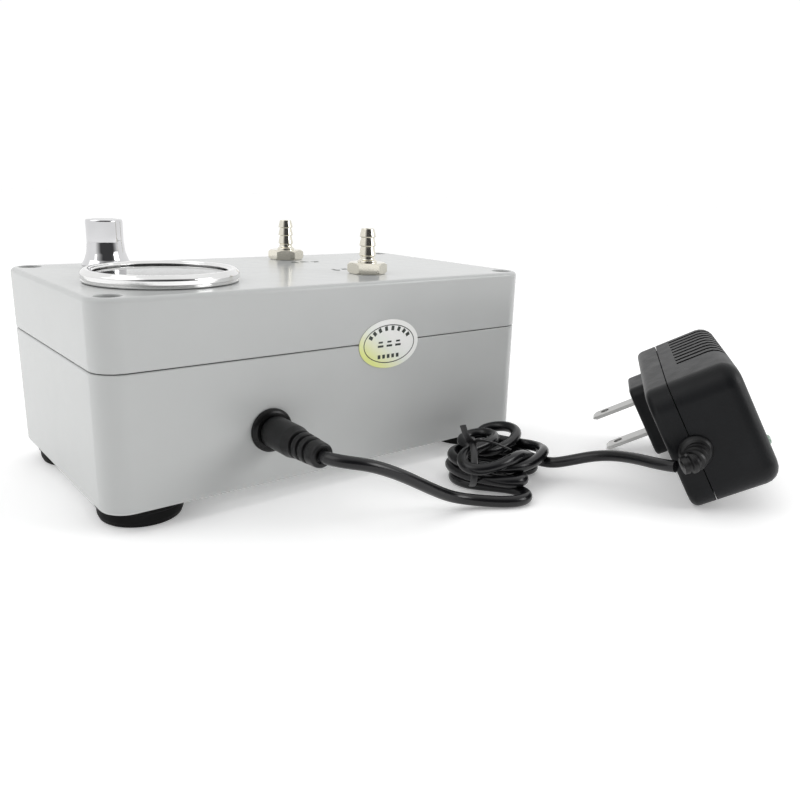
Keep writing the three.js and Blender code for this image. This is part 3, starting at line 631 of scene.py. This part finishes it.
LENGTH, WIDTH = (high("upper_cover") - low("upper_cover")).xy
TOP, LID_LOW = high("upper_cover").z, low("upper_cover").z
BASE_TOP, BOTTOM = high("lower_housing").z, low("lower_housing").z
CORNER, EDGE, WALL = 8, 1.5, 3
FRONT = low("lower_housing").y
FINE = 0.3
GAUGE, KNOB = middle("gauge_bezel"), middle("control_knob")
INLET, OUTLET, JACK = middle("inlet_barb"), middle("outlet_barb"), middle("power_socket")
SCREWS = [middle(f"cover_screw_{i}") for i in range(1, 5)]
FEET = [middle(f"foot_{i}") for i in range(1, 5)]


def rod(radius, z0, z1, place=(0, 0), segments=64):
    return lathe("rod", [(0, z0), (radius, z0), (radius, z1), (0, z1)], at(place[0], place[1]), segments)


def well(place):
    """The counterbore that a cover screw sits in, with a softened rim."""
    floor, radius, soft = 50, 3.5, 0.5
    rim = [(radius + soft + soft * math.cos(a), TOP - soft + soft * math.sin(a))
           for a in (math.pi - math.pi / 2 * k / 5 for k in range(6))]
    return lathe("well", [(0, floor), (radius, floor), *rim, (radius + soft, TOP + 1), (0, TOP + 1)],
                 at(place.x, place.y), 48)


def make_enclosure():
    inner = (LENGTH - 2 * WALL, WIDTH - 2 * WALL, CORNER - WALL)
    cover = slab("cover_shell", LENGTH, WIDTH, CORNER, [
        (FINE, LID_LOW), (0, LID_LOW + FINE), (0, TOP, EDGE), (4, TOP)], steps=14)
    room = slab("room", *inner, [(0, LID_LOW - 5), (0, TOP - WALL, 1), (3, TOP - WALL)])
    room = carve(room, merged("posts", [rod(5.4, LID_LOW - 9, TOP, p) for p in SCREWS]))
    holes = [well(p) for p in SCREWS] + [rod(1.8, LID_LOW - 2, 51, p, 24) for p in SCREWS]
    cover = carve(cover, room, merged("wells", holes[:4]), merged("shanks", holes[4:]))
    bores = [rod(20.5, TOP - 9, TOP + 5, GAUGE, 96), rod(3.8, TOP - 9, TOP + 5, KNOB)]
    bores += [rod(4.1, TOP - 9, TOP + 5, p) for p in (INLET, OUTLET)]
    done(carve(cover, merged("bores", bores)), "shell", "housing", "upper_cover")

    base = slab("base_shell", LENGTH, WIDTH, CORNER, [
        (4, BOTTOM), (0, BOTTOM, EDGE), (0, BASE_TOP - FINE), (FINE, BASE_TOP)], steps=14)
    room = slab("room", *inner, [(3, BOTTOM + WALL), (0, BOTTOM + WALL, 1), (0, BASE_TOP + 5)])
    posts = [rod(4.8, BOTTOM, BASE_TOP + 9, p) for p in SCREWS] + [rod(4, BOTTOM, 15, p) for p in FEET]
    room = carve(room, merged("posts", posts))
    groove = slab("groove", LENGTH - 1.6, WIDTH - 1.6, CORNER - 0.8, [(0, BASE_TOP - 1.2), (0, BASE_TOP + 1)])
    groove = carve(groove, slab("land", LENGTH - 4.8, WIDTH - 4.8, CORNER - 2.4, [
        (0, BASE_TOP - 3), (0, BASE_TOP + 3)]))
    holes = [rod(1.8, 28, BASE_TOP + 3, p, 24) for p in SCREWS]
    holes += [rod(1.9, BOTTOM - 1, 13, p, 24) for p in FEET]
    jack = lathe("jack", [(0, -8), (5.7, -8), (5.7, 8), (0, 8)], at(JACK.x, FRONT, JACK.z, 90, "X"), 48)
    base = carve(base, room, groove, merged("holes", holes), jack)
    done(base, "shell", "housing", "lower_housing")


def cross_head(name, radius, height, shank_r, shank, matrix, look, node):
    """A pan-head screw with a cross recess, head up."""
    head = lathe(name, [
        (0, -shank), (shank_r * 0.6, -shank), (shank_r, -shank + 1), (shank_r, 0), (radius, 0, 0.2),
        (radius, height * 0.5), (radius * 0.75, height, 1.2), (0, height)], matrix, 48)
    depth = [(0.2, height * 0.35), (0, height + 1)]
    arms = [slab("arm", radius * 1.15, 0.75, 0.15, depth, matrix @ at(0, 0, 0, turn)) for turn in (0, 90)]
    done(carve(head, *arms), look, "housing", node)


def make_fasteners():
    for i, place in enumerate(SCREWS, 1):
        head = high(f"cover_screw_{i}").z - 2.3
        cross_head(f"cover_screw_head_{i}", 2.9, 2.3, 1.5, 15.5, at(place.x, place.y, head), "screw",
                   f"cover_screw_{i}")
    for i, place in enumerate(FEET, 1):
        turn = at(place.x, place.y, 2.8, 180, "X")
        cross_head(f"foot_screw_head_{i}", 3.7, 2.0, 1.5, 9.4, turn, "screw", f"foot_screw_{i}")


def make_feet():
    for i, place in enumerate(FEET, 1):
        foot = lathe(f"rubber_foot_{i}", [
            (1.9, 3), (4.6, 3, 0.4), (4.6, 0, 0.5), (11.6, 0, 0.9), (12.3, 1.8, 1), (12.35, 4.0, 0.5),
            (12.9, 4.5, 0.4), (12.9, 5.8, 0.5), (1.9, 5.8)], at(place.x, place.y))
        done(foot, "rubber", "housing", f"foot_{i}")


# ---- Seal and port marks ---------------------------------------------------------------------------------

def oval(width, height, count=72):
    return [(width / 2 * math.cos(2 * math.pi * k / count), height / 2 * math.sin(2 * math.pi * k / count))
            for k in range(count)]


def band(name, outer, inner, z0, z1, matrix):
    """A flat ring between two outlines of equally many points."""
    count = len(outer)
    outlines = ((outer, z0), (outer, z1), (inner, z1), (inner, z0))
    points = [(x, y, z) for outline, z in outlines for x, y in outline]
    faces = []
    for ring in range(4):
        for k in range(count):
            m = (k + 1) % count
            a, b = ring * count, (ring + 1) % 4 * count
            faces.append((a + k, a + m, b + m, b + k))
    return raw(name, points, faces, matrix)


def bars(places, width, height, z0, z1, matrix):
    """Small upright bars, each given as (x, y, turn)."""
    return [brick("bar", -width / 2, width / 2, -height / 2, height / 2, z0, z1, matrix @ at(x, y, 0, turn))
            for x, y, turn in places]


def make_seal():
    width, _, height = high("quality_seal") - low("quality_seal")
    centre = middle("quality_seal")
    matrix = at(centre.x, high("quality_seal").y, centre.z, 90, "X")
    thick = 0.15
    rings = [[(x, y, z) for x, y in oval(width - 2 * inset, height - 2 * inset)]
             for inset, z in ((0, 0), (0, thick - 0.05), (0.05, thick))]
    done(loft("seal_sticker", rings, matrix), "foil", "housing", "quality_seal")
    z0, z1 = thick + 0.005, thick + 0.03
    prints = [band("line", oval(width - 3.4, height - 3.4), oval(width - 4.0, height - 4.0), z0, z1, matrix)]
    arch = [(8.6 * math.cos(a), 5.0 * math.sin(a) + 0.2, math.degrees(a) - 90)
            for a in (math.radians(152 - 17.7 * k) for k in range(8))]
    prints += bars(arch, 1.15, 1.5, z0, z1, matrix)
    prints += bars([(x, -0.6, 0) for x in (-3.6, 0.0, 3.6)], 2.3, 0.7, z0, z1, matrix)
    prints += bars([(x, 0.7, 0) for x in (-3.6, 0.0, 3.6)], 1.7, 0.6, z0, z1, matrix)
    prints += bars([(-4.2 + 1.9 * k, -4.1, 0) for k in range(5)], 1.1, 1.3, z0, z1, matrix)
    done(merged("seal_print", prints), "ink", "housing")


def arrow(name, z0, z1, matrix):
    outline = [(-0.35, -2.6), (0.35, -2.6), (0.35, 0.4), (1.5, 0.4), (0, 2.6), (-1.5, 0.4), (-0.35, 0.4)]
    return prism(name, outline, z0, z1, matrix)


def make_port_marks():
    """Printed beside each barb: an arrow for the way the air flows, and a short underline."""
    z0, z1 = TOP + 0.01, TOP + 0.05
    marks = []
    for port, side, turn in ((INLET, 1, 180), (OUTLET, -1, 0)):
        matrix = at(port.x, port.y + side * 13.5)
        marks.append(arrow("arrow", z0, z1, matrix @ at(-4, 0, 0, turn)))
        marks += bars([(0.5, 0, 0), (4.8, 0, 0)], 3.2, 0.6, z0, z1, matrix)
        marks += bars([(0.5, 1.6, 0), (4.8, -1.6, 0)], 2.2, 0.5, z0, z1, matrix)
    done(merged("port_marks", marks), "ink", "housing")


# ---- Vacuum gauge ----------------------------------------------------------------------------------------

def make_gauge():
    spot = at(GAUGE.x, GAUGE.y)
    lip, crest = low("gauge_bezel").z, high("gauge_bezel").z
    bezel = lathe("gauge_bezel_ring", [
        (22.5, lip), (22.75, lip, 0.15), (22.85, lip + 0.45, 0.1), (22.6, lip + 0.65, 0.1),
        (22.6, lip + 0.8, 0.1), (23, lip + 1.0, 0.2), (23, crest - 1.1, 1.1), (21.9, crest, 0.9),
        (20.7, crest, 0.5), (20.4, crest - 0.35, 0.1),
        (19.9, crest - 0.45, 0.3), (19.3, crest - 1.0, 0.15), (22.5, crest - 1.0)], spot, 160, 8)
    done(bezel, "steel", "housing", "gauge_bezel")
    glass_low, glass_high = low("gauge_lens").z, high("gauge_lens").z
    lens = lathe("gauge_glass", [(0, glass_low), (22.2, glass_low, 0.2), (22.2, glass_high - 0.1, 0.1),
                                 (19, glass_high - 0.05, 20), (0, glass_high)], spot, 128)
    done(lens, "glass", "housing", "gauge_lens")
    dial_high = high("gauge_dial").z
    dial = lathe("gauge_dial_plate", [
        (1.2, dial_high - 0.6), (18.4, dial_high - 0.6), (18.4, dial_high, 0.15),
        (1.2, dial_high)], spot, 128)
    done(dial, "dial", "housing", "gauge_dial")
    make_scale(spot, dial_high)
    floor_z = low("gauge_needle").z + 0.2
    outline = [(-6.5, -1.0), (-5.2, -0.75), (0, -0.55), (14, -0.18), (15, 0), (14, 0.18), (0, 0.55),
               (-5.2, 0.75), (-6.5, 1.0)]
    blade = prism("needle", outline, floor_z, floor_z + 0.4, spot @ at(0, 0, 0, -135))
    hub = lathe("hub", [(0, floor_z - 0.2), (2, floor_z - 0.2), (2, high("gauge_needle").z, 0.5),
                        (0, high("gauge_needle").z)], spot, 48)
    done(weld(blade, hub), "needle", "needle", "gauge_needle")


def make_scale(spot, face):
    """Scale marks over 270 degrees, with plain numerals 0 to 10."""
    z0, z1 = face + 0.005, face + 0.04
    marks = []
    steps, sweep_angle, start = 50, 270, 225
    for k in range(steps + 1):
        angle = math.radians(start - sweep_angle * k / steps)
        major, medium = k % 10 == 0, k % 5 == 0
        inner = 13.6 if major else 14.3 if medium else 15.0
        width = 0.32 if major else 0.16
        turned_by = math.degrees(angle)
        marks.append(brick("tick", inner, 16.4, -width / 2, width / 2, z0, z1, spot @ at(0, 0, 0, turned_by)))
    ring = [(16.6 * math.cos(a), 16.6 * math.sin(a)) for a in
            (math.radians(start - sweep_angle * k / 90) for k in range(91))]
    edge = [(16.4 * math.cos(a), 16.4 * math.sin(a)) for a in
            (math.radians(start - sweep_angle * k / 90) for k in range(90, -1, -1))]
    marks.append(prism("arc", ring + edge, z0, z1, spot))
    for k in range(6):
        angle = math.radians(start - sweep_angle * k / 5)
        place = spot @ at(11.3 * math.cos(angle), 11.3 * math.sin(angle))
        marks.append(numeral(str(2 * k), 2.4, z0, z1, place))
    done(merged("gauge_scale", marks), "dial_ink", "housing")


def numeral(text, size, z0, z1, matrix):
    curve = bpy.data.curves.new("numeral", "FONT")
    curve.body = text
    curve.size = size
    curve.align_x, curve.align_y = "CENTER", "CENTER"
    curve.extrude = (z1 - z0) / 2
    written = bpy.data.objects.new("numeral", curve)
    bpy.context.scene.collection.objects.link(written)
    graph = bpy.context.evaluated_depsgraph_get()
    mesh = bpy.data.meshes.new_from_object(written.evaluated_get(graph))
    bpy.data.objects.remove(written)
    points = [v.co + Vector((0, 0, (z0 + z1) / 2)) for v in mesh.vertices]
    return raw("numeral", points, [tuple(p.vertices) for p in mesh.polygons], matrix)


# ---- Knob and barbs --------------------------------------------------------------------------------------

def make_knob():
    base, crown = low("control_knob").z, high("control_knob").z
    knob = lathe("speed_knob", [
        (0, base + 10), (3.3, base + 10, 0.3), (3.3, base + 1.6, 0.2), (6, base + 1.6, 0.2), (6, base, 0.1),
        (8, base, 0.3), (8, base + 0.8, 0.35), (7.1, base + 2.4, 2), (6.25, base + 4.8, 4),
        (5.9, base + 8, 10),
        (5.9, crown, 0.75), (4.2, crown, 0.6), (3.9, crown - 0.12, 0.4), (0, crown - 0.12)],
        at(KNOB.x, KNOB.y), 128, 6)
    done(knob, "chrome", "knob", "control_knob")


def make_barb(name, node, place):
    seat, tip = TOP + 0.15, high(node).z
    neck = seat + 3.7
    spot = at(place.x, place.y)
    nut = prism("nut", hexagon(12), seat, neck, spot @ at(0, 0, 0, 30))
    nut = keep_common(nut, lathe("chamfer", [
        (0, seat - 1), (6.3, seat - 1), (6.3, seat + 0.1), (7.1, seat + 0.75), (7.1, neck - 0.95),
        (5.9, neck, 0.1), (0, neck + 0.001)], spot, 96))
    stem = lathe(name, [
        (1.5, 56), (3.7, 56, 0.2), (3.9, 57), (3.9, neck - 0.4), (3.35, neck - 0.35), (3.3, neck + 0.55, 0.3),
        (2.6, neck + 1.0, 0.5), (2.45, tip - 9.2, 0.15), (2.95, tip - 9.0, 0.12), (2.35, tip - 5.95, 0.12),
        (2.9, tip - 5.75, 0.12), (2.3, tip - 2.95, 0.12), (2.85, tip - 2.75, 0.12), (2.2, tip, 0.25),
        (1.5, tip, 0.2)], spot, 72)
    tail = lathe("tail", [(1.5, 47), (2.4, 47), (2.2, 50), (2.5, 50.1), (2.2, 53.3), (2.5, 53.4), (2.3, 56.4),
                          (1.5, 56.4)], spot, 48)
    body = carve(nut, rod(2, seat - 2, neck + 2, place))
    done(weld(body, stem, tail), "nickel", "housing", node, 28)


# ---- Power socket and plug -------------------------------------------------------------------------------

def make_socket():
    matrix = at(JACK.x, FRONT, JACK.z, 90, "X")
    face = FRONT - low("power_socket").y
    socket = lathe("panel_socket", [
        (1.05, -9), (3.05, -9, 0.1), (3.05, face - 0.5), (3.4, face, 0.15), (5.6, face, 0.4),
        (6.2, face - 0.25, 0.5),
        (6.8, face - 0.85, 0.5), (6.8, 0.15, 0.1), (5.4, 0.15), (5.4, -15, 0.3), (1.05, -15)], matrix, 96)
    done(socket, "gloss_black", "housing", "power_socket")


def make_plug():
    start = high("dc_plug").y
    matrix = at(JACK.x, start, JACK.z, 90, "X")
    plug = lathe("dc_plug_body", [
        (0, 0), (4.75, 0, 0.3), (4.9, 1.0, 0.5), (4.9, 11.6, 3), (4.35, 14.2, 0.5), (4.3, 14.9, 0.25),
        (3.3, 15.0, 0.15), (3.3, 16.1, 0.15), (4.2, 16.2, 0.35), (4.1, 18.1, 0.35), (3.2, 18.2, 0.15),
        (3.2, 19.3, 0.15), (4.05, 19.4, 0.35), (3.95, 21.3, 0.35), (3.05, 21.4, 0.15), (3.05, 22.5, 0.15),
        (3.85, 22.6, 0.4), (3.6, 26.5, 0.9), (2.1, 26.5, 0.3), (2.05, 25.6), (0, 25.6)], matrix, 72)
    done(plug, "plug_vinyl", "power_lead", "dc_plug")
    barrel = lathe("dc_plug_sleeve", [
        (1.35, -9.5), (2.55, -9.5, 0.1), (2.7, -9.2, 0.1), (2.7, -0.15), (1.35, -0.15)], matrix, 64)
    done(barrel, "blade", "power_lead", "dc_plug_barrel")
    return [plug, barrel]


# ---- Wall adapter ----------------------------------------------------------------------------------------

CASE_LENGTH, CASE_DEPTH, CASE_WIDTH = 74, 28.2, 41
PARTING, BLOCK_X, BLADE_PITCH, EXIT_Z = 7.6, 55, 12.7, 19.5
GROOVES, GROOVE_X, GROOVE_PITCH, GROOVE_WIDTH = 9, 25.5, 4.6, 2
LED_X, LED_Z = 15, 10
ADAPTER = (Matrix.Translation((74.1, -127.3, -0.8)) @ Matrix.Rotation(math.radians(36.9), 4, "Z")
           @ Matrix.Rotation(math.radians(-28.3), 4, "X"))
INTO_CASE = ADAPTER @ at(CASE_LENGTH / 2, 0, CASE_WIDTH / 2, 90, "X")
OUT_OF_CASE = ADAPTER @ at(BLOCK_X, 0, CASE_WIDTH / 2, -90, "X")


def case_core(name, inset, front, rear_round=8.0):
    """The case's outer shape less an inset, from the given depth to the rear."""
    rear = CASE_DEPTH - inset
    return slab(name, CASE_LENGTH - 2 * inset, CASE_WIDTH - 2 * inset, 7.5 - inset * 0.6, [
        (0, front), (0, rear, rear_round - inset), (rear_round + 2, rear)], INTO_CASE, 12)


def make_case():
    wall, gap = 2, 0.15
    front = slab("adapter_front_shell", CASE_LENGTH, CASE_WIDTH, 7.5, [
        (5, 0), (0, 0, 2.4), (0, PARTING - gap)], INTO_CASE, 12)
    hollow = slab("hollow", CASE_LENGTH - 2 * wall, CASE_WIDTH - 2 * wall, 5, [
        (2, wall), (0, wall, 1.5), (0, PARTING + 3)], INTO_CASE)
    slots = [slab("slot", 7, 2.1, 0.2, [(0, -4), (0, 8)], OUT_OF_CASE @ at(0, side * BLADE_PITCH / 2))
             for side in (-1, 1)]
    mouth = [lathe("mouth", [(0, -6), (3.7, -6), (3.7, 4), (0, 4)],
                   ADAPTER @ at(0, -PARTING, EXIT_Z, -90, "Y"), 48) for _ in range(2)]
    front = carve(front, hollow, merged("slots", slots), mouth[0])
    done(front, "adapter", "power_lead", "adapter_front_case")

    rear = slab("adapter_rear_shell", CASE_LENGTH, CASE_WIDTH, 7.5, [
        (0, PARTING + gap), (0, CASE_DEPTH, 8), (11, CASE_DEPTH)], INTO_CASE, 12)
    grooves = []
    for i in range(GROOVES):
        x = GROOVE_X + i * GROOVE_PITCH - CASE_LENGTH / 2
        for side in (-1, 1):
            y = sorted((side * (CASE_WIDTH / 2 - 6.5), side * (CASE_WIDTH / 2 + 1)))
            grooves.append(brick("groove", x, x + GROOVE_WIDTH, *y, 12.5, CASE_DEPTH + 1, INTO_CASE))
    cutter = carve(merged("grooves", grooves), case_core("core", 0.75, 5))
    led_hole = lathe("led_hole", [(0, -9), (2.1, -9), (2.1, 3), (0, 3)], led_place(), 32)
    rear = carve(rear, case_core("hollow", wall, PARTING - 4), cutter, mouth[1], led_hole)
    done(rear, "adapter", "power_lead", "adapter_rear_case")


def led_place():
    return ADAPTER @ at(LED_X, -CASE_DEPTH, LED_Z, 90, "X")


def make_adapter_details():
    block = slab("adapter_block", 24, 27, 4, [(0, 0.15), (0, 6.5, 1.2), (4, 6.5)], OUT_OF_CASE)
    slots = [slab("slot", 6.9, 2.0, 0.2, [(0, -4), (0, 8)], OUT_OF_CASE @ at(0, side * BLADE_PITCH / 2))
             for side in (-1, 1)]
    done(carve(block, merged("slots", slots)), "adapter", "power_lead", "adapter_plug_block")
    tip = 23
    for label, side in (("lower", 1), ("upper", -1)):
        spot = OUT_OF_CASE @ at(0, side * BLADE_PITCH / 2)
        blade = slab(f"blade_{label}", 6.35, 1.5, 0.3, [(0, -2), (0, tip - 1.3, 0.4), (0.5, tip)], spot)
        hole = lathe("hole", [(0, -3), (1.6, -3), (1.6, 3), (0, 3)], spot @ at(0, 0, tip - 4.8, 90, "X"), 32)
        done(carve(blade, hole), "blade", "power_lead", f"adapter_blade_{label}")
    lens = [(0, -2.8), (1.8, -2.8), (1.8, 0.4, 0.6), (1.2, 1.2, 0.8), (0, 1.4)]
    led = lathe("adapter_lamp", lens, led_place(), 40)
    done(led, "led", "power_lead", "adapter_led")


def make_strain_relief():
    spot = ADAPTER @ at(0, -PARTING, EXIT_Z)
    collar = lathe("cord_boot", [
        (0, -1.5), (3.2, -1.5), (3.2, 0.15), (5.2, 0.15, 0.2), (5.1, 0.9, 0.6), (4.4, 1.9, 1.2), (3.6, 2.4),
        (0, 2.4)],
        spot @ at(0, 0, 0, -90, "Y"), 72)
    line, widths = flow([(1, 0, 0), (0, 0, 0), (-4, 0.3, -0.3), (-6.9, 2, -0.6), (-7.7, 5, -0.4)], 90,
                        [3.5, 3.5, 3.3, 2.9, 2.6])
    run = np.linspace(0, 1, len(widths))
    ribs = np.clip(np.sin(run * 2 * math.pi * 7 - 0.5) * 2.2, -1, 1)
    ribbed = widths + 0.42 * ribs * ((run > 0.26) & (run < 0.86))
    boot = sweep("boot_tail", line, ribbed, sides=40, matrix=spot)
    relief = weld(collar, boot)
    done(relief, "plug_vinyl", "power_lead", "adapter_strain_relief")
    return relief


# ---- Tie -------------------------------------------------------------------------------------------------

def make_tie():
    """A flat plastic twist tie: a band through the bundle on the tied side, and its two ends."""
    half_w, half_t = 1.1, 0.3
    loop = []
    for k in range(15):
        turn = 2 * math.pi * k / 14
        loop.append(hank_point(-9, -5 + 12.5 * math.cos(turn), 8.2 + 7.2 * math.sin(turn)))
    line = flow(loop, 90)
    parts = [sweep("tie_band", line, [half_t] * 90, [half_w] * 90, 12, up=hank_axis())]
    for route in (
        [(-9, -6, 15.2), (-10.2, -7, 16.4), (-11.6, -7.5, 18.6), (-12.6, -7.5, 21.4)],
        [(-9, -6, 15.2), (-6.5, -8, 16.5), (-3, -10, 16.6), (3, -11, 14.6)],
    ):
        strip = flow([hank_point(*p) for p in route], 30)
        parts.append(sweep("strip", strip, [half_t] * 30, [half_w] * 30, 12, up=hank_axis()))
    tie = weld(*parts)
    tie.name = "twist_tie"
    done(tie, "tie", "power_lead", "cord_tie")
    return tie


def hank_axis():
    return (math.sin(HANK_HEADING), -math.cos(HANK_HEADING), 0)


# ---- Carried-over inner parts ----------------------------------------------------------------------------

CARRIED = {
    "cover_gasket": "gasket", "gauge_case": "black_plastic", "needle_arbor": "yellow_brass",
    "sector_gear": "yellow_brass", "movement_plate": "yellow_brass", "bourdon_tube": "yellow_brass",
    "gauge_tee": "yellow_brass", "potentiometer": "screw", "potentiometer_shaft": "yellow_brass",
    "potentiometer_nut": "screw", "inlet_locknut": "nickel", "outlet_locknut": "nickel",
    "socket_nut": "screw",
    "adapter_board": "board", "pump_motor": "enamel", "pump_crankcase": "black_plastic", "crank": "screw",
    "connecting_rod": "nylon", "pump_diaphragm": "rubber", "pump_head": "black_plastic",
    "suction_tube": "silicone", "vacuum_tube": "silicone", "exhaust_tube": "silicone",
    "control_board": "board",
}


def dress_carried():
    for node, look in CARRIED.items():
        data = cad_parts[node].data
        data.materials.clear()
        data.materials.append(MATERIALS[look])


# ---- Scene -----------------------------------------------------------------------------------------------

make_camera()
bpy.context.scene.view_settings.view_transform = "Standard"
cord, cord_length = make_cord()
make_world()
make_floor()
area_light("key", (-0.65, 0.10, 0.75), (0, 0, 0.03), (0.7, 0.7), 1.6)
area_light("fill", (0.55, -0.65, 0.40), (0.05, -0.05, 0.03), (0.4, 0.4), 2.5)
make_enclosure()
make_fasteners()
make_feet()
make_seal()
make_port_marks()
make_gauge()
make_knob()
make_barb("inlet_fitting", "inlet_barb", INLET)
make_barb("outlet_fitting", "outlet_barb", OUTLET)
make_socket()
plug_pieces = make_plug()
make_case()
make_adapter_details()
relief = make_strain_relief()
tie = make_tie()
dress_carried()
